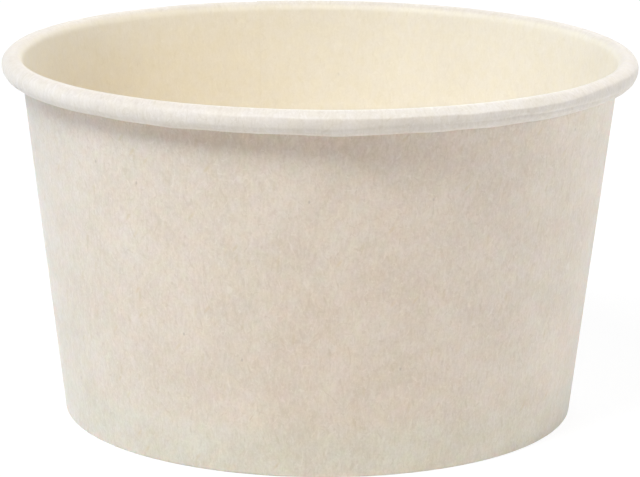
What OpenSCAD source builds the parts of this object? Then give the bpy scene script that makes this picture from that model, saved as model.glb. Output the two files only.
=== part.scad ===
// Paper ice cream tub. A board blank is wrapped into a tapered wall, its two ends glued in a side seam.
// The wall's top is rolled outward into a hollow rim; its bottom is folded inward round the base's skirt.
// Lengths are in millimetres. The tub stands on z = 0 and its axis is z.

/* [Tub] */
// Outside diameter over the rolled rim
rim_d = 95; // [88:0.5:105]
// Height from the table to the top of the rim
tub_h = 54.6; // [45:0.1:70]
// Outside diameter of the wall, carried down to the table
foot_d = 76.8; // [70:0.1:82]

/* [Board] */
// Thickness of the paperboard
board = 0.36; // [0.3:0.01:0.42]
// Glue line on each side of the base's skirt
glue = 0.02; // [0.01:0.01:0.04]

/* [Rim] */
// Width of the roll
curl_w = 3.25; // [2.8:0.05:4]
// Height of the roll
curl_h = 3.5; // [3:0.05:4.5]
// How far round the roll goes, in degrees
curl_turn = 290; // [240:1:300]

/* [Foot] */
// Height of the base's upper face above the table
base_rise = 7.4; // [6:0.1:12]
// Inside radius of the bend from the base to its skirt
base_bend = 0.4; // [0.2:0.05:0.8]
// Width of the flat ring that the tub stands on
foot_flat = 0.24; // [0.1:0.02:0.3]
// Space between the fold and the lower edge of the skirt
skirt_space = 0.3; // [0.2:0.05:0.8]
// Space between the hem's edge and the bend of the base
hem_space = 0.5; // [0.3:0.05:1.5]

/* [Side seam] */
// Direction of the inner end of the blank, in degrees from +X
seam_turn = 103; // [0:1:359]
// Overlap of the two ends, along the rim
lap_w = 8; // [5:0.5:12]
// Length along the rim in which the outer end climbs over the inner one
climb_w = 4; // [2:0.5:6]
// How far the two ends are pressed into each other
lap_press = 0.04; // [0.02:0.01:0.08]
// Height above the table at which the outer end leaves the wall
lap_rise = 1.2; // [1:0.1:3]
// Height in which the outer end comes to its full thickness
lap_fade = 2; // [1:0.1:4]
// How much sooner the outer end's roll stops, in degrees
lap_short = 14; // [5:1:40]

/* [Smoothness] */
// Steps in which the outer end climbs
climb_steps = 5; // [3:1:8]
// Overlap of neighbouring steps, in degrees
step_over = 0.3; // [0.1:0.05:0.5]
// Largest turn between two points of a bend's section, in degrees
bend_step = 9; // [5:1:15]
// Overrun of cuts
over = 1; // [0.5:0.5:3]

/* [Hidden] */
$fn = 180;
slope_rounds = 12;

// Middle line of the roll: an ellipse about this centre
curl_a = (curl_w - board) / 2;
curl_b = (curl_h - board) / 2;
curl_c = [(rim_d - curl_w) / 2, tub_h - curl_h / 2];

// Slope of the wall, found in rounds: its line leaves the foot and touches the roll's inner side
function wall_slope(m, rounds) =
    rounds < 1 ? m :
    wall_slope((curl_c.x - foot_d / 2 + board / 2 * sqrt(1 + m * m)
        - sqrt(curl_a * curl_a + curl_b * curl_b * m * m)) / curl_c.y, rounds - 1);
slope = wall_slope(0, slope_rounds);
taper = atan(slope);
widen = sqrt(1 + slope * slope);

// Radius of the wall's middle line at height z, and of a line inside it at a distance square to the wall
function wall_r(z) = foot_d / 2 - board / 2 * widen + slope * z;
function inside_r(z, distance) = wall_r(z) - distance * widen;

// The skirt lies one board and one glue line inside the wall, and the hem as far inside the skirt
skirt_in = board + glue;
hem_in = 2 * skirt_in;
fold_r = (hem_in - foot_flat / widen) / 2;
fold_z = board / 2 + fold_r;
base_r = base_bend + board / 2;
base_z = base_rise - board / 2;
skirt_top = base_z - base_r;
skirt_end = board + skirt_space;
hem_end = skirt_top - hem_space;

// A station is a point of a board's middle line and the direction of travel there: [r, z, degrees]
up = 90 - taper;
down = -90 - taper;
function steps(turn) = ceil(abs(turn) / bend_step);
function bend(centre, radius, from, to) =
    [for (i = [0:steps(to - from)])
        let (h = from + (to - from) * i / steps(to - from))
        [centre.x + radius * sin(h), centre.y - radius * cos(h), h]];
function roll(from, turn) =
    [for (i = [0:steps(turn)])
        let (p = from - turn * i / steps(turn))
        [curl_c.x + curl_a * cos(p), curl_c.y + curl_b * sin(p), atan2(-curl_b * cos(p), curl_a * sin(p))]];

// The point beside a station, at a distance to the right of the direction of travel
function beside(s, distance) = [s.x + distance * sin(s.z), s.y - distance * cos(s.z)];

// Foot: down the hem, round the fold to the wall
foot_line = concat(
    [[inside_r(hem_end, hem_in), hem_end, down]],
    bend([inside_r(fold_z, hem_in - fold_r), fold_z], fold_r, down, 0),
    bend([inside_r(fold_z, fold_r), fold_z], fold_r, 0, up));

// Wall: up to the place where it touches the roll, and round the roll
roll_from = 180 - atan(curl_b / curl_a * slope);
wall_line = concat(foot_line, roll(roll_from, curl_turn));

// Outer end of the blank: a skived edge within the wall, full thickness above it, and the roll
end_top = lap_rise + lap_fade;
end_line = concat(
    [for (z = [lap_rise, end_top]) [wall_r(z), z, up]],
    roll(roll_from, curl_turn - lap_short));
function end_share(s) = min(1, (s.y - lap_rise) / lap_fade);

// Where the outer end climbs, the wall stops at this share of the skived height
notch_share = 0.5;
notch_z = lap_rise + lap_fade * notch_share;
cut_z = tub_h + over;
cut_r = rim_d / 2 + over;

// Angles at the rim
degrees_per_mm = 360 / (PI * rim_d);
lap_turn = lap_w * degrees_per_mm;
climb_turn = climb_w * degrees_per_mm;
step_turn = climb_turn / climb_steps;

// Section of a board between its left and right faces; first is 1 where both start at one point, else 0
module board_section(left, right, first) {
    polygon(concat(left, [for (i = [len(right) - 1:-1:first]) right[i]]));
}

// Wall all the way round, in one thickness
module wall_ring() {
    rotate_extrude()
        board_section(
            [for (s = wall_line) beside(s, -board / 2)],
            [for (s = wall_line) beside(s, board / 2)], 0);
}

// A stretch of the outer end, standing out from the wall's own line
module outer_end(from, turn, shift) {
    rotate([0, 0, from])
        rotate_extrude(angle = turn)
            board_section(
                [for (s = end_line) beside(s, (shift - board / 2) * end_share(s))],
                [for (s = end_line) beside(s, (shift + board / 2) * end_share(s))], 1);
}

// Space in the ring, outside the hem, in which the outer end climbs; the inner end is cut square there
module climb_space() {
    rotate([0, 0, seam_turn])
        rotate_extrude(angle = climb_turn)
            polygon([
                [inside_r(notch_z, skirt_in), notch_z],
                [cut_r, notch_z],
                [cut_r, cut_z],
                [inside_r(cut_z, skirt_in), cut_z]]);
}

module sidewall() {
    color([0.88, 0.84, 0.77]) {
        difference() {
            wall_ring();
            climb_space();
        }
        // The overlap lies on the outside of the inner end
        outer_end(seam_turn - lap_turn, lap_turn + step_over, board - lap_press);
        // It climbs there in steps from the wall's own line
        for (i = [1:climb_steps])
            outer_end(seam_turn + climb_turn - i * step_turn, step_turn + step_over,
                (board - lap_press) * i / (climb_steps + 1));
    }
}

module base_disc() {
    line = concat(
        [[0, base_z, 0]],
        bend([inside_r(skirt_top, skirt_in + base_r), skirt_top], -base_r, 0, down),
        [[inside_r(skirt_end, skirt_in), skirt_end, down]]);
    color([0.86, 0.82, 0.74])
        rotate_extrude()
            board_section(
                [for (s = line) beside(s, -board / 2)],
                [for (s = line) beside(s, board / 2)], 0);
}

sidewall();
base_disc();
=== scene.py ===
"""Paper ice cream tub: a board wall with rolled rim, side seam and folded foot, and a recessed base."""

import math

import bpy
import numpy as np
from mathutils import Matrix, Vector


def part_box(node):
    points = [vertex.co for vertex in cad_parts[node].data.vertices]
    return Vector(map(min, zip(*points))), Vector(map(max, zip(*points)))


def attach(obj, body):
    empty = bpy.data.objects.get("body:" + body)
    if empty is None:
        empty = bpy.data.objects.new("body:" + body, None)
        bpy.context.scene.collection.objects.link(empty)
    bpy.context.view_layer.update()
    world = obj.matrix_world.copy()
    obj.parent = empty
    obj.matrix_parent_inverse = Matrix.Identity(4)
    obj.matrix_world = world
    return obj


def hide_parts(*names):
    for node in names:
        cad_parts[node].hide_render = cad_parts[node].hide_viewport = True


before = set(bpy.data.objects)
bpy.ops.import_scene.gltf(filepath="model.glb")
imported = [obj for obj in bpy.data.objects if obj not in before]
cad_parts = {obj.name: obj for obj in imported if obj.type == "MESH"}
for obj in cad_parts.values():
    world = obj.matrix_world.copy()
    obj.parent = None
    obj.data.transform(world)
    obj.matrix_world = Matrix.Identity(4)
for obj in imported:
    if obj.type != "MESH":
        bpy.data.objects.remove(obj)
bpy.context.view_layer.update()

# Sizes of the solids, in metres and degrees
MM = 0.001
WALL_LOW, WALL_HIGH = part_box("sidewall")
RIM_R = (WALL_HIGH.x - WALL_LOW.x) / 2
TUB_H = WALL_HIGH.z
BASE_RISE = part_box("base_disc")[1].z
FOOT_R = 38.4 * MM
BOARD = 0.36 * MM
GLUE = 0.02 * MM
CURL_W = 3.25 * MM
CURL_H = 3.5 * MM
CURL_TURN = 290.0
FOOT_FLAT = 0.24 * MM
BASE_BEND = 0.4 * MM
SKIRT_SPACE = 0.3 * MM
HEM_SPACE = 0.5 * MM
SEAM_TURN = 103.0
LAP_W = 8 * MM
LAP_RISE = 1.2 * MM
LAP_FADE = 2 * MM
LAP_SHORT = 14.0

# Board lines as in the solids. A station is a point of the middle line and the direction of travel there
SLOPE_ROUNDS = 12
CURL_A = (CURL_W - BOARD) / 2
CURL_B = (CURL_H - BOARD) / 2
CURL_R = RIM_R - CURL_W / 2
CURL_Z = TUB_H - CURL_H / 2
SLOPE = 0.0
for _ in range(SLOPE_ROUNDS):
    SLOPE = (
        CURL_R - FOOT_R + BOARD / 2 * math.hypot(1, SLOPE) - math.hypot(CURL_A, CURL_B * SLOPE)
    ) / CURL_Z
WIDEN = math.hypot(1, SLOPE)
TAPER = math.degrees(math.atan(SLOPE))
UP, DOWN = 90 - TAPER, -90 - TAPER
SKIRT_IN = BOARD + GLUE
HEM_IN = 2 * SKIRT_IN
FOLD_R = (HEM_IN - FOOT_FLAT / WIDEN) / 2
FOLD_Z = BOARD / 2 + FOLD_R
BASE_R = BASE_BEND + BOARD / 2
BASE_Z = BASE_RISE - BOARD / 2
SKIRT_TOP = BASE_Z - BASE_R
SKIRT_END = BOARD + SKIRT_SPACE
HEM_END = SKIRT_TOP - HEM_SPACE
FADE_TOP = LAP_RISE + LAP_FADE

# Numbers of points along the lines
HEM_COUNT = 6
FOLD_COUNT = 7
FADE_ROWS = 4
RISE_COUNT = 16
RING_COUNT = 26
BASE_BEND_COUNT = 9
SKIRT_COUNT = 5


def inside_r(z, distance=0.0):
    return FOOT_R - (BOARD / 2 + distance) * WIDEN + SLOPE * z


def bend(r, z, radius, start, end, count):
    h = np.radians(np.linspace(start, end, count))
    return np.stack([r + radius * np.sin(h), z - radius * np.cos(h), h], 1)


def straight(z0, z1, distance, heading, count):
    z = np.linspace(z0, z1, count)
    return np.stack([inside_r(z, distance), z, np.full(count, math.radians(heading))], 1)


def roll(turn):
    """Stations round the roll by a turn, closer on its front flank, and their angles round the section."""
    start = math.pi - math.atan(CURL_B / CURL_A * SLOPE)
    parts = ((0, 40, 8), (40, 125, 20), (125, 240, 46), (240, turn, 12))
    p = start - np.radians(np.unique(np.concatenate([np.linspace(*part) for part in parts])))
    heading = np.arctan2(-CURL_B * np.cos(p), CURL_A * np.sin(p))
    return np.stack([CURL_R + CURL_A * np.cos(p), CURL_Z + CURL_B * np.sin(p), heading], 1), p


def lengths(line):
    steps = np.hypot(np.diff(line[:, 0]), np.diff(line[:, 1]))
    return np.concatenate([[0], np.cumsum(steps)])


ROLL_LINE, ROLL_P = roll(CURL_TURN)
FOOT_LINE = np.concatenate(
    [
        straight(HEM_END, FOLD_Z, HEM_IN, DOWN, HEM_COUNT)[:-1],
        bend(inside_r(FOLD_Z, HEM_IN - FOLD_R), FOLD_Z, FOLD_R, DOWN, 0, FOLD_COUNT),
        bend(inside_r(FOLD_Z, FOLD_R), FOLD_Z, FOLD_R, 0, UP, FOLD_COUNT),
        straight(LAP_RISE, LAP_RISE, 0, UP, 1),
    ]
)
RISE_LINE = np.concatenate(
    [
        straight(LAP_RISE, FADE_TOP, 0, UP, FADE_ROWS + 1)[1:],
        straight(FADE_TOP, ROLL_LINE[0, 1], 0, UP, RISE_COUNT)[1:-1],
    ]
)
WALL_LINE = np.concatenate([FOOT_LINE, RISE_LINE, ROLL_LINE])
N_FOOT = len(FOOT_LINE)


# Unevenness of roll, wall and base, as waves round the axis
WAVE_POINTS = 1441
rng = np.random.default_rng(7)


def wave_table(low, high, size):
    """A smooth function of the angle round the tub, between -size and size, with low to high waves a turn."""
    k = np.arange(low, high + 1)
    amount = rng.normal(size=len(k)) / np.sqrt(k)
    phase = rng.uniform(0, 2 * math.pi, len(k))
    at = np.linspace(0, 2 * math.pi, WAVE_POINTS)
    w = (amount * np.sin(np.outer(at, k) + phase)).sum(1)
    values = size * w / np.abs(w).max()
    return lambda theta: np.interp(theta % (2 * math.pi), at, values)


# Lengths in metres, the pressing as a share, the crease and the groove in degrees round the section
lip_waves = wave_table(5, 40, 0.05 * MM)
slim_waves = wave_table(3, 30, 0.04 * MM)
sink_waves = wave_table(2, 24, 0.05 * MM)
wall_waves = wave_table(2, 9, 0.06 * MM)
press_waves = wave_table(6, 40, 0.09)
crease_waves = wave_table(8, 60, 5.6)
groove_waves = wave_table(8, 50, 5)
ripple_waves = wave_table(40, 120, 0.03 * MM)
base_waves = wave_table(2, 7, 0.05 * MM)

# Wear of the roll: each row's size, direction round the tub and width. The front is at 270 degrees
LIP_DIPS = ((0.11 * MM, 274, 4), (0.05 * MM, 243, 3))
CREASE_MOVES = ((3, 292, 14), (9, 313, 9), (-8, 332, 9))
FLANK_MORE = ((0.55, 296, 32),)
ABOVE_MORE = ((0.65, 295, 48),)
GROOVE_RISES = ((21, 310, 36),)
GROOVE_MORE = ((0.075 * MM, 310, 36), (0.07 * MM, 328, 17))

# How flat the roll is made elsewhere, as shares; its crease and groove, in degrees round the section
FLANK_SHARE = 0.12
ABOVE_SHARE = 0.15
CREASE = 28
GROOVE_AT = -40
GROOVE_WIDTH = 8
GROOVE_DEPTH = 0.035 * MM

# How far the lip's waves grow past the top, how slim and low the roll is, and where the wall's waves fade
LIP_REACH = 1.6
SLIM = 0.05 * MM
SINK = 0.05 * MM
WAVE_FADE = 20 * MM


def turn_from(theta, place):
    return (np.degrees(theta) - place + 180) % 360 - 180


def bumps(theta, rows):
    return sum(size * np.exp(-((turn_from(theta, place) / width) ** 2)) for size, place, width in rows)


# The flattened roll is straight between these angles of its section, so it has a crease, with softened
# corners
CHORD_ENDS = np.array([*range(-140, -50, 6), -46, CREASE, 82, *range(85, 201, 3)])
SECTION = np.arange(-140, 201)
CORNER = 2
SOFTENED = np.exp(-((np.arange(-9, 10) / CORNER) ** 2) / 2)


def flat_between(radius, wave):
    """How far a coordinate of the section moves where the roll is flattened."""
    chord = np.interp(SECTION, CHORD_ENDS, radius * wave(np.radians(CHORD_ENDS)))
    return np.convolve(chord - radius * wave(np.radians(SECTION)), SOFTENED / SOFTENED.sum(), "same")


FLAT_R = flat_between(CURL_A, np.cos)
FLAT_Z = flat_between(CURL_B, np.sin)


def crease_turn(theta, p):
    """Degrees round the section, moved so that the crease lies at CREASE all the way round the tub."""
    return np.degrees(p)[None, :] + (crease_waves(theta) + bumps(theta, CREASE_MOVES))[:, None]


def pressing(theta, p):
    """How far the roll's points lie off its ellipse, for angles round the tub and round the section."""
    flank = np.clip(FLANK_SHARE + bumps(theta, FLANK_MORE) + press_waves(theta), 0, 1)[:, None]
    above = np.clip(ABOVE_SHARE + bumps(theta, ABOVE_MORE), 0, 1)[:, None]
    at = crease_turn(theta, p)
    amount = np.where(at > CREASE, above, flank)
    place = (GROOVE_AT + bumps(theta, GROOVE_RISES) + groove_waves(theta))[:, None]
    depth = (GROOVE_DEPTH + bumps(theta, GROOVE_MORE))[:, None]
    groove = depth * np.exp(-(((np.degrees(p)[None, :] - place) / GROOVE_WIDTH) ** 2))
    inward = groove + ripple_waves(theta)[:, None] * np.clip(np.cos(p), 0, 1)[None, :] ** 2
    dr = amount * np.interp(at, SECTION, FLAT_R) - inward * np.cos(p)[None, :]
    dz = amount * np.interp(at, SECTION, FLAT_Z) - inward * np.sin(p)[None, :]
    return dr, dz


# Meshes. A grid has a column for each angle round the tub and a row for each station of a line
SMOOTH_ANGLE = 35


def quads(grid, flip=False):
    """Four-cornered faces between neighbouring points of a grid of point numbers."""
    corners = [grid[:-1, :-1], grid[1:, :-1], grid[1:, 1:], grid[:-1, 1:]]
    found = np.stack(corners, 2).reshape(-1, 4)
    return (found[:, ::-1] if flip else found).tolist()


def strip(first, second, flip=False):
    return quads(np.stack([first, second], 1), flip)


def round_axis(theta, r, z):
    theta = theta[:, None]
    return np.stack(np.broadcast_arrays(r * np.cos(theta), r * np.sin(theta), z), 2)


def smooth(share):
    return share * share * (3 - 2 * share)


def make(name, points, faces, marks):
    """A mesh piece on the tub's body, with marks at its points that the material reads.

    sheet: the place on the flat blank, in millimetres
    face: 0 on the blank's inner face, 1 on its outer one
    rolled: 1 on the rim's roll
    pressed: 1 on the roll's band above the crease at the front, where a lighter tone is painted as a
    highlight
    """
    mesh = bpy.data.meshes.new(name)
    mesh.from_pydata(points.tolist(), [], faces)
    for mark, values in marks.items():
        kind, field = ("FLOAT_VECTOR", "vector") if values.ndim == 2 else ("FLOAT", "value")
        mesh.attributes.new(mark, kind, "POINT").data.foreach_set(field, values.astype(np.float32).ravel())
    mesh.shade_smooth()
    mesh.set_sharp_from_angle(angle=math.radians(SMOOTH_ANGLE))
    mesh.validate()
    piece = bpy.data.objects.new(name, mesh)
    bpy.context.scene.collection.objects.link(piece)
    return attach(piece, "root")


# Wall blank. From its inner end at the seam it runs clockwise, seen from above, and on past its start
DEG_PER_M = 180 / (math.pi * RIM_R)
LAP_TURN = LAP_W * DEG_PER_M
LAP_SHIFT = BOARD + 0.015 * MM
LAP_COUNT = 22
WRAP_R = 43 * MM
SEAM_SINK = 0.06 * MM
SOFT_TURN = 10 * MM * DEG_PER_M
SOFT_COUNT = 15
THINNED = 0.33 * MM
THIN_TURN = 5 * MM * DEG_PER_M
THIN_COUNT = 8
BURIED_TURN = 0.5 * MM * DEG_PER_M
BURIED_SHARE = 0.8
SKIVED_SHARE = 0.02

# Where the roll's tones begin and fade, in degrees round the section, and the place round the tub of the band
# with the painted highlight
ROLLED_FROM, ROLLED_FADE = 150, 40
HIGHLIGHT_EDGE = 10
HIGHLIGHT_TOP, HIGHLIGHT_FADE = 95, 25
HIGHLIGHT_PLACE, HIGHLIGHT_WIDTH = 288, 30


def wall_points(turned, line, p, shares, offset, shift):
    """Points beside the line at each turn from the seam. Rim and wall are a little uneven."""
    theta = np.radians(SEAM_TURN - turned)
    r, z, h = (line[:, i][None, :] for i in range(3))
    out = offset + shift[:, None] * shares[None, :]
    r = r + out * np.sin(h)
    z = z - out * np.cos(h)
    n = len(p)
    past_top = np.clip((math.pi / 2 - p) / (math.pi / 2), 0, LIP_REACH)[None, :]
    z[:, -n:] += (lip_waves(theta) - bumps(theta, LIP_DIPS))[:, None] * past_top
    r[:, -n:] -= (slim_waves(theta) + SLIM)[:, None] * np.clip(past_top, 0, 1)
    z[:, -n:] -= (sink_waves(theta) + SINK)[:, None] * np.clip(np.sin(p), 0, 1)[None, :]
    dr, dz = pressing(theta, p)
    r[:, -n:] += dr
    z[:, -n:] += dz
    rise = np.clip((z - LAP_RISE) / TUB_H, 0, 1) * np.clip((CURL_Z - z) / WAVE_FADE, 0, 1)
    return round_axis(theta, r + rise * wall_waves(theta)[:, None], z)


def wall_marks(turned, line, p):
    """The marks of both faces. The blank is laid out from the front of the tub and up from the hem's edge."""
    cols, rows, n = len(turned), len(line), len(p)
    along = np.radians(turned - SEAM_TURN - 90)[:, None] * WRAP_R / MM
    place = np.stack(np.broadcast_arrays(along, lengths(line)[None, :] / MM, 0.0), 2)
    theta, degrees = np.radians(SEAM_TURN - turned), np.degrees(p)[None, :]
    rolled, pressed = np.zeros((2, cols, rows))
    rolled[:, -n:] = smooth(np.clip((ROLLED_FROM - degrees) / ROLLED_FADE, 0, 1))
    # Painted highlight: a lighter tone on the roll's top band above the crease, at the front of the tub
    band = np.exp(-((turn_from(theta, HIGHLIGHT_PLACE) / HIGHLIGHT_WIDTH) ** 4))[:, None]
    above = np.clip((crease_turn(theta, p) - CREASE) / HIGHLIGHT_EDGE + 0.5, 0, 1)
    pressed[:, -n:] = band * above * (1 - np.clip((degrees - HIGHLIGHT_TOP) / HIGHLIGHT_FADE, 0, 1))
    return {
        "sheet": np.concatenate([place.reshape(-1, 3)] * 2),
        "face": np.repeat([0, 1], cols * rows),
        "rolled": np.tile(rolled.ravel(), 2),
        "pressed": np.tile(pressed.ravel(), 2),
    }


def board_faces(inner, outer, first=0):
    """Both faces of a board and its four edges. The edges at its ends start at the first row."""
    return [
        *quads(inner, True),
        *quads(outer),
        *strip(inner[:, 0], outer[:, 0], True),
        *strip(inner[:, -1], outer[:, -1]),
        *strip(inner[0, first:], outer[0, first:]),
        *strip(inner[-1, first:], outer[-1, first:], True),
    ]


def seam_shift(turned):
    """How far the last stretch lies outside the wall: it sinks a little, then dives behind the inner end."""
    sink = np.clip((turned - (360 - SOFT_TURN)) / SOFT_TURN, 0, 1)
    dive = np.clip((turned - 360) / THIN_TURN, 0, 1)
    return SEAM_SINK * smooth(sink) + (LAP_SHIFT - SEAM_SINK) * dive


def wall_blank():
    """Once round the tub. The hidden face is thinned at the inner end, so that the seam is flush inside."""
    turned = np.concatenate(
        [
            np.linspace(0, THIN_TURN, THIN_COUNT)[:-1],
            np.arange(THIN_TURN, 360 - SOFT_TURN, 1.0),
            np.linspace(360 - SOFT_TURN, 360, SOFT_COUNT),
        ]
    )
    line, p = WALL_LINE, ROLL_P
    shares = np.clip((np.arange(len(line)) - (N_FOOT - 1)) / FADE_ROWS, 0, 1)
    thinned = THINNED * np.clip(1 - turned / THIN_TURN, 0, 1)[:, None] * shares[None, :]
    shift = seam_shift(turned)
    sides = [wall_points(turned, line, p, shares, x, shift) for x in (-BOARD / 2, BOARD / 2 - thinned)]
    index = np.arange(2 * len(turned) * len(line)).reshape(2, len(turned), len(line))
    # The foot closes on itself: its last column is the first one
    index[:, -1, :N_FOOT] = index[:, 0, :N_FOOT]
    return np.concatenate(sides).reshape(-1, 3), board_faces(*index, N_FOOT - 1), wall_marks(turned, line, p)


def outer_end():
    """The lap: the blank's last stretch, which lies outside the inner end and inside its roll."""
    roll_line, p = roll(CURL_TURN - LAP_SHORT)
    line = np.concatenate([FOOT_LINE[-1:], RISE_LINE, roll_line])
    turned = np.concatenate([[360 - BURIED_TURN], np.linspace(360, 360 + LAP_TURN, LAP_COUNT)])
    shares = np.clip(np.arange(len(line)) / FADE_ROWS, 0, 1)
    # The first column lies buried in the blank
    thick = np.maximum(shares, SKIVED_SHARE)[None, :] * np.where(turned < 360, BURIED_SHARE, 1)[:, None]
    shift = seam_shift(turned)
    sides = [wall_points(turned, line, p, shares, x * BOARD / 2 * thick, shift) for x in (-1, 1)]
    index = np.arange(2 * len(turned) * len(line)).reshape(2, len(turned), len(line))
    return np.concatenate(sides).reshape(-1, 3), board_faces(*index), wall_marks(turned, line, p)


def joined(first, second):
    points = np.concatenate([first[0], second[0]])
    faces = first[1] + [[i + len(first[0]) for i in face] for face in second[1]]
    return points, faces, {mark: np.concatenate([first[2][mark], second[2][mark]]) for mark in first[2]}


wall = make("tub_wall", *joined(wall_blank(), outer_end()))
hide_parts("sidewall")


# Base: a disc that sags a little, its edge turned down as a skirt
BASE_SAG = 0.25 * MM
BASE_COLUMNS = 240


def base():
    edge_r = inside_r(SKIRT_TOP, SKIRT_IN + BASE_R)
    rings = np.linspace(0, edge_r, RING_COUNT)[1:-1]
    line = np.concatenate(
        [
            np.stack([rings, np.full(len(rings), BASE_Z), np.zeros(len(rings))], 1),
            bend(edge_r, SKIRT_TOP, -BASE_R, 0, DOWN, BASE_BEND_COUNT),
            straight(SKIRT_TOP, SKIRT_END, SKIRT_IN, DOWN, SKIRT_COUNT)[1:],
        ]
    )
    theta = np.linspace(0, 2 * math.pi, BASE_COLUMNS + 1)[:-1]
    inward = np.clip(1 - line[:, 0] / edge_r, 0, 1)
    sag = BASE_SAG * (1 - (1 - inward) ** 2) * (np.arange(len(line)) < len(rings))
    ripple = base_waves(theta)[:, None] * (4 * inward * (1 - inward))[None, :]
    place = round_axis(theta, (lengths(line) + line[0, 0])[None, :], 0.0).reshape(-1, 3)
    # On each face the middle point comes last
    points, places = [], []
    for offset in (-BOARD / 2, BOARD / 2):
        r = line[:, 0] + offset * np.sin(line[:, 2])
        z = line[:, 1] - offset * np.cos(line[:, 2]) - sag
        points += [round_axis(theta, r, z + ripple).reshape(-1, 3), [[0, 0, BASE_Z - offset - BASE_SAG]]]
        places += [place, np.zeros((1, 3))]
    n = len(place)
    upper = np.arange(n).reshape(BASE_COLUMNS, len(line))
    upper = np.concatenate([upper, upper[:1]])
    lower = upper + n + 1
    faces = []
    for grid, middle, flip in ((upper, n, False), (lower, 2 * n + 1, True)):
        fan = np.stack([np.full(BASE_COLUMNS, middle), grid[:-1, 0], grid[1:, 0]], 1)
        faces += quads(grid.T, flip) + (fan[:, ::-1] if flip else fan).tolist()
    faces += quads(np.stack([upper[:, -1], lower[:, -1]]))
    face = np.repeat([0, 1], n + 1)
    marks = {"sheet": np.concatenate(places) / MM, "face": face, "rolled": 0 * face, "pressed": 0 * face}
    return np.concatenate(points), faces, marks


bottom = make("tub_base", *base())
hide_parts("base_disc")

# Camera at the photograph's place and angle
CAM_BACK, CAM_UP = 0.46025, 0.13707
YAW, PITCH, ROLL = 0.00041, 0.23765, 0.00792
SENSOR, LENS = 36, 175.72
cam = bpy.data.objects.new("camera", bpy.data.cameras.new("camera"))
bpy.context.scene.collection.objects.link(cam)
cam.data.sensor_width = SENSOR
cam.data.lens = LENS
cam.data.clip_start = 0.01
fwd = Vector((math.sin(YAW) * math.cos(PITCH), math.cos(YAW) * math.cos(PITCH), -math.sin(PITCH)))
right = fwd.cross(Vector((0, 0, 1))).normalized()
up = right.cross(fwd)
side = right * math.cos(ROLL) + up * math.sin(ROLL)
top = up * math.cos(ROLL) - right * math.sin(ROLL)
cam.matrix_world = Matrix(
    (
        (side.x, top.x, -fwd.x, 0),
        (side.y, top.y, -fwd.y, -CAM_BACK),
        (side.z, top.z, -fwd.z, CAM_UP),
        (0, 0, 0, 1),
    )
)
bpy.context.scene.camera = cam


# Materials
class Tree:
    """A material's nodes, with short calls for those used here. Inputs are values or other nodes' outputs."""

    def __init__(self, name):
        self.material = bpy.data.materials.new(name)
        self.material.use_nodes = True
        self.nodes = self.material.node_tree.nodes
        self.links = self.material.node_tree.links
        self.nodes.clear()

    def put(self, socket, v):
        if isinstance(v, bpy.types.NodeSocket):
            self.links.new(v, socket)
        elif v is not None:
            socket.default_value = v

    def add(self, kind, *inputs, out=0, **props):
        n = self.nodes.new("ShaderNode" + kind)
        for k, v in props.items():
            setattr(n, k, v)
        for i, v in enumerate(inputs):
            self.put(n.inputs[i], v)
        return n.outputs[out] if len(n.outputs) else None

    def math(self, op, *inputs, clamp=False):
        return self.add("Math", *inputs, operation=op, use_clamp=clamp)

    def total(self, values):
        out = values[0]
        for v in values[1:]:
            out = self.math("ADD", out, v)
        return out

    def centred(self, v, amount):
        """A value between 0 and 1, as one between minus and plus half an amount."""
        return self.math("MULTIPLY_ADD", v, amount, -0.5 * amount)

    def mix(self, share, a, b, blend="MIX"):
        n = self.nodes.new("ShaderNodeMix")
        n.data_type = "RGBA"
        n.blend_type = blend
        for i, v in ((0, share), (6, a), (7, b)):
            self.put(n.inputs[i], v)
        return n.outputs[2]

    def noise(self, at, scale, detail=2.0, rough=0.5, warp=0.0, finer=2.0):
        return self.add(
            "TexNoise", at, None, scale, detail, rough, finer, None, None, warp, noise_dimensions="2D"
        )

    def along(self, at, degrees, stretch, start=(0, 0, 0)):
        """Coordinates drawn out by stretch along a line that leans by some degrees from the upright."""
        turn = (0, 0, math.radians(degrees))
        return self.add("Mapping", at, start, turn, (1, stretch, 1), vector_type="TEXTURE")

    def band(self, v, low, high):
        """0 below low, 1 above high, smooth between; falling if low is above high."""
        n = self.nodes.new("ShaderNodeMapRange")
        n.interpolation_type = "SMOOTHSTEP"
        rising = low < high
        values = (v, min(low, high), max(low, high), float(not rising), float(rising))
        for i, x in enumerate(values):
            self.put(n.inputs[i], x)
        return n.outputs[0]


# Board: clouds, pulp, crossing fibres, fine tooth, strands and flecks. Scales are per millimetre
CLOUD_SCALE, CLOUD = 0.12, 0.95
PULP_SCALE, PULP = 0.8, 0.68
PULP_LEAN, PULP_STRETCH, PULP_ROUGH = 5, 1.9, 0.6
TOOTH_SCALE, TOOTH = 4.2, 0.42
# Each fibre layer's lean, stretch, scale and weight, most of them near the upright
FIBRES = (
    (9, 4.5, 2.8, 0.66),
    (-14, 4.0, 3.1, 0.56),
    (48, 3.0, 3.0, 0.48),
    (-52, 3.0, 3.1, 0.44),
    (92, 2.6, 2.9, 0.46),
)
# Each strand layer's lean, scale, number of lines and weight
STRANDS = ((6, 0.50, 7.0, 0.46), (-9, 0.42, 6.0, -0.46))
STRAND_STRETCH, STRAND_WARP = 2.2, 0.5
STRAND_OUT, STRAND_IN = 0.10, 0.02
PATCH_SCALE, PATCH_LOW, PATCH_HIGH = 0.8, 0.48, 0.60
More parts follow.
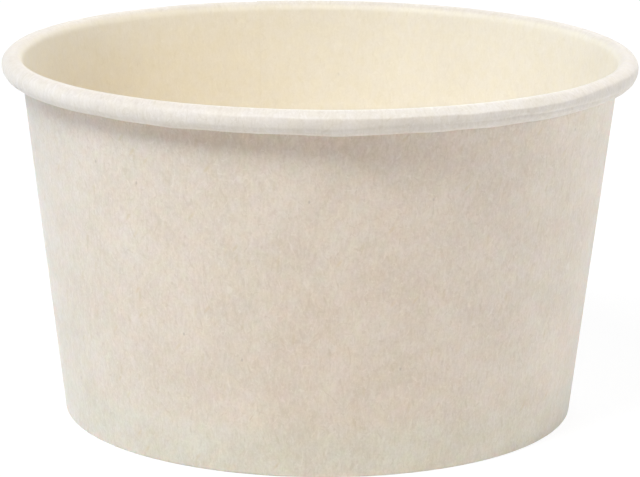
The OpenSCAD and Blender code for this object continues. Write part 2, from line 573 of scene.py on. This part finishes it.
# Each fleck layer's lean, stretch, scale, share of empty cells, size, colour and strength
FLECKS = (
    (8, 3.2, 0.52, 0.86, 0.17, (0.59, 0.49, 0.26), 0.20),
    (-20, 3.8, 0.50, 0.88, 0.15, (0.52, 0.43, 0.25), 0.20),
    (40, 3.2, 0.40, 0.90, 0.12, (0.62, 0.49, 0.21), 0.24),
    (5, 1.6, 0.12, 0.80, 0.026, (0.25, 0.20, 0.15), 0.32),
)
FLECK_EDGE = 0.02
FLECK_CORE_SHARE = 0.3
FLECK_INSIDE_SHARE = 0.3
# Share of the texture that shows on the inner face, and how much more of it on the roll
INSIDE_SHARE, ROLL_SHARE = 0.35, 0.40
# Light and dark: how far they lie from a tone, and how much more of it in each channel
SPREAD = 0.09
WARM = (0.84, 1.0, 1.32)
DRIFT_SCALE, DRIFT_LOW, DRIFT_HIGH = 0.45, 0.3, 0.7
DRIFT_TONE = (1.0, 0.996, 0.963)
BUMP = 0.006 * MM
FIBRE_HEIGHT, PULP_HEIGHT = 0.8, 1.2
INSIDE_ROUGH, OUTSIDE_ROUGHER, TOOTH_ROUGH = 0.53, 0.08, 0.1
SOAKED_SHARE = 0.5
SOAKED_RADIUS = (1.0, 0.4, 0.2)
SOAKED_SCALE = 0.6 * MM
OUTER = (0.744, 0.668, 0.558)
# Inner face: the coated lining's own tone, made lighter as painted light for the light that falls into the
# tub
INNER_PLUS_LIGHT = (0.893, 0.817, 0.685)
ROLL_TONE = (0.783, 0.703, 0.618)
# Painted highlight: the lighter tone of the roll's top band at the front
PAINTED_HIGHLIGHT_TONE = (0.845, 0.780, 0.706)


def board(name, tones):
    """Board from the tones of its inner face, its roll, the painted highlight on the roll's top band and its
    outer face.
    """
    t = Tree(name)
    at = t.add("Attribute", attribute_name="sheet", out=1)
    face, rolled, pressed = (
        t.add("Attribute", attribute_name=mark, out=2) for mark in ("face", "rolled", "pressed")
    )
    cloud = t.noise(at, CLOUD_SCALE)
    drift = t.noise(at, DRIFT_SCALE, 1.0)
    pulp = t.noise(t.along(at, PULP_LEAN, PULP_STRETCH), PULP_SCALE, rough=PULP_ROUGH)
    tooth = t.noise(at, TOOTH_SCALE, 1.0)
    fibres = [
        t.noise(t.along(at, lean, stretch, (31 * i, 17 * i, 0)), scale, 1.0)
        for i, (lean, stretch, scale, _) in enumerate(FIBRES)
    ]
    shades = [t.centred(fibre, row[3]) for fibre, row in zip(fibres, FIBRES)]
    shades.append(t.centred(tooth, TOOTH))
    # A strand is a level line of a cloudy field, and shows in patches
    for i, (lean, scale, lines, weight) in enumerate(STRANDS):
        place = t.along(at, lean, STRAND_STRETCH, (53 + 29 * i, 11, 0))
        field = t.math("MULTIPLY", t.noise(place, scale, 1.0, warp=STRAND_WARP), lines)
        off = t.math("ABSOLUTE", t.math("SUBTRACT", t.math("FRACT", field), 0.5))
        patch = t.noise(t.along(at, 0, 1.0, (7 + 40 * i, 90, 0)), PATCH_SCALE, 0.0)
        line = t.math("MULTIPLY", t.band(off, STRAND_OUT, STRAND_IN), t.band(patch, PATCH_LOW, PATCH_HIGH))
        shades.append(t.math("MULTIPLY", line, weight))
    shade = t.total([*shades, t.centred(cloud, CLOUD), t.centred(pulp, PULP)])
    inside = t.math("MULTIPLY_ADD", rolled, ROLL_SHARE, INSIDE_SHARE)
    shown = t.math("MULTIPLY_ADD", face, 1 - INSIDE_SHARE, inside, clamp=True)
    level = t.math("MULTIPLY_ADD", shade, shown, 0.5, clamp=True)
    ends = []
    for spread in (-SPREAD, SPREAD):
        inner, roll_tone, band, outer = (
            (*(c * (1 + spread * w) for c, w in zip(tone, WARM)), 1) for tone in tones
        )
        # The roll's top band at the front takes the painted highlight tone
        ends.append(t.mix(face, t.mix(rolled, inner, t.mix(pressed, roll_tone, band)), outer))
    colour = t.mix(level, *ends)
    # The colour drifts towards yellow in places
    colour = t.mix(t.band(drift, DRIFT_LOW, DRIFT_HIGH), colour, (*DRIFT_TONE, 1), "MULTIPLY")
    # Flecks of unbleached fibre
    for lean, stretch, scale, empty, size, tone, strength in FLECKS:
        cell = t.nodes.new("ShaderNodeTexVoronoi")
        cell.voronoi_dimensions = "2D"
        t.put(cell.inputs["Vector"], t.along(at, lean, stretch, (lean, 3 * lean, 0)))
        cell.inputs["Scale"].default_value = scale
        chosen = t.band(t.add("SeparateColor", cell.outputs["Color"]), empty, empty + FLECK_EDGE)
        spot = t.math("MULTIPLY", t.band(cell.outputs["Distance"], size, size * FLECK_CORE_SHARE), chosen)
        least = FLECK_INSIDE_SHARE * strength
        shown = t.math("MULTIPLY", spot, t.math("MULTIPLY_ADD", face, strength - least, least))
        colour = t.mix(shown, colour, (*tone, 1))
    heights = ((fibres[0], FIBRE_HEIGHT), (fibres[1], FIBRE_HEIGHT), (pulp, PULP_HEIGHT))
    bump = t.nodes.new("ShaderNodeBump")
    bump.inputs["Strength"].default_value = 1.0
    bump.inputs["Distance"].default_value = BUMP
    t.put(bump.inputs["Height"], t.total([t.math("MULTIPLY", v, k) for v, k in heights]))
    shader = t.nodes.new("ShaderNodeBsdfPrincipled")
    t.put(shader.inputs["Base Color"], colour)
    t.put(shader.inputs["Normal"], bump.outputs[0])
    rough = t.math("MULTIPLY_ADD", face, OUTSIDE_ROUGHER, INSIDE_ROUGH)
    t.put(shader.inputs["Roughness"], t.math("MULTIPLY_ADD", tooth, TOOTH_ROUGH, rough))
    shader.inputs["Specular IOR Level"].default_value = 0.5
    # Light soaks into the uncoated outer face and through the wall, red the farthest
    t.put(shader.inputs["Subsurface Weight"], t.math("MULTIPLY", face, SOAKED_SHARE))
    shader.inputs["Subsurface Radius"].default_value = SOAKED_RADIUS
    shader.inputs["Subsurface Scale"].default_value = SOAKED_SCALE
    shader.inputs["Sheen Weight"].default_value = 0.2
    shader.inputs["Sheen Roughness"].default_value = 0.4
    t.add("OutputMaterial", shader.outputs[0])
    return t.material


wall.data.materials.append(board("natural_board", (INNER_PLUS_LIGHT, ROLL_TONE, PAINTED_HIGHLIGHT_TONE, OUTER)))
bottom.data.materials.append(board("base_board", (INNER_PLUS_LIGHT, INNER_PLUS_LIGHT, INNER_PLUS_LIGHT, OUTER)))

# Floor: white to the camera, with the tub's shadow left on it
FLOOR_HALF = 3.0
FLOOR_DROP = 0.01 * MM
FLOOR_WHITE = 0.90
GLOW, GLOW_SHARE = 1.07, 0.85
t = Tree("floor_white")
diffuse = t.add("BsdfDiffuse", (FLOOR_WHITE, FLOOR_WHITE, FLOOR_WHITE, 1))
glow = t.add("Emission", (1, 1, 1, 1), GLOW)
rays = t.nodes.new("ShaderNodeLightPath")
seen = t.math("MAXIMUM", rays.outputs["Is Camera Ray"], rays.outputs["Is Glossy Ray"])
t.add("OutputMaterial", t.add("MixShader", t.math("MULTIPLY", seen, GLOW_SHARE), diffuse, glow))
floor_mesh = bpy.data.meshes.new("floor")
corners = [(x * FLOOR_HALF, y * FLOOR_HALF, -FLOOR_DROP) for x, y in ((-1, -1), (1, -1), (1, 1), (-1, 1))]
floor_mesh.from_pydata(corners, [], [(0, 1, 2, 3)])
floor_mesh.materials.append(t.material)
floor = bpy.data.objects.new("floor", floor_mesh)
bpy.context.scene.collection.objects.link(floor)

# Soft lamps: azimuth from the viewer, height, size, light on a facing surface as a share of white, and tint
LAMP_DISTANCE = 1.5
AIM = Vector((0, 0, 30 * MM))
LAMPS = (
    ("key", 320, 50, 0.5, 0.635, (0.90, 0.972, 1.0)),
    ("top", 330, 62, 0.5, 0.30, (1.0, 0.90, 0.81)),
    ("left", 290, 34, 0.5, 0.12, (0.25, 0.48, 1.0)),
    ("left_back", 245, 12, 0.7, 0.15, (0.72, 0.85, 1.0)),
    ("right_low", 90, 4, 0.3, 0.225, (0.54, 0.73, 1.0)),
    ("right", 90, 22, 0.7, 0.19, (1.0, 0.955, 0.80)),
    ("right_front", 60, 25, 0.7, 0.08, (1.0, 0.86, 0.86)),
    ("back_right", 150, 32, 0.7, 0.185, (0.88, 0.92, 1.0)),
    ("back_low", 180, 32, 0.7, 0.10, (0.92, 1.0, 0.98)),
    ("back_high", 180, 48, 0.7, 0.13, (0.86, 0.90, 1.0)),
)
for name, azimuth, height, size, share, tint in LAMPS:
    a, e = math.radians(azimuth), math.radians(height)
    out = Vector((math.sin(a) * math.cos(e), -math.cos(a) * math.cos(e), math.sin(e)))
    lamp = bpy.data.objects.new(name, bpy.data.lights.new(name, "AREA"))
    bpy.context.scene.collection.objects.link(lamp)
    lamp.data.shape = "DISK"
    lamp.data.size = size
    lamp.data.energy = share * (math.pi * LAMP_DISTANCE) ** 2
    lamp.data.color = tint
    lamp.location = AIM + out * LAMP_DISTANCE
    lamp.rotation_mode = "QUATERNION"
    lamp.rotation_quaternion = (-out).to_track_quat("-Z", "Y")

# Background: white to the camera, and a faint light on the tub
WORLD_LIGHT = 0.02
world = bpy.data.worlds.new("studio")
bpy.context.scene.world = world
world.use_nodes = True
nodes, links = world.node_tree.nodes, world.node_tree.links
back = nodes["Background"]
back.inputs["Color"].default_value = (1, 1, 1, 1)
rays = nodes.new("ShaderNodeLightPath")
seen = nodes.new("ShaderNodeMath")
seen.operation = "MAXIMUM"
links.new(rays.outputs["Is Camera Ray"], seen.inputs[0])
links.new(rays.outputs["Is Glossy Ray"], seen.inputs[1])
level = nodes.new("ShaderNodeMapRange")
level.inputs["To Min"].default_value = WORLD_LIGHT
links.new(seen.outputs[0], level.inputs["Value"])
links.new(level.outputs[0], back.inputs["Strength"])

bpy.context.scene.view_settings.view_transform = "Standard"
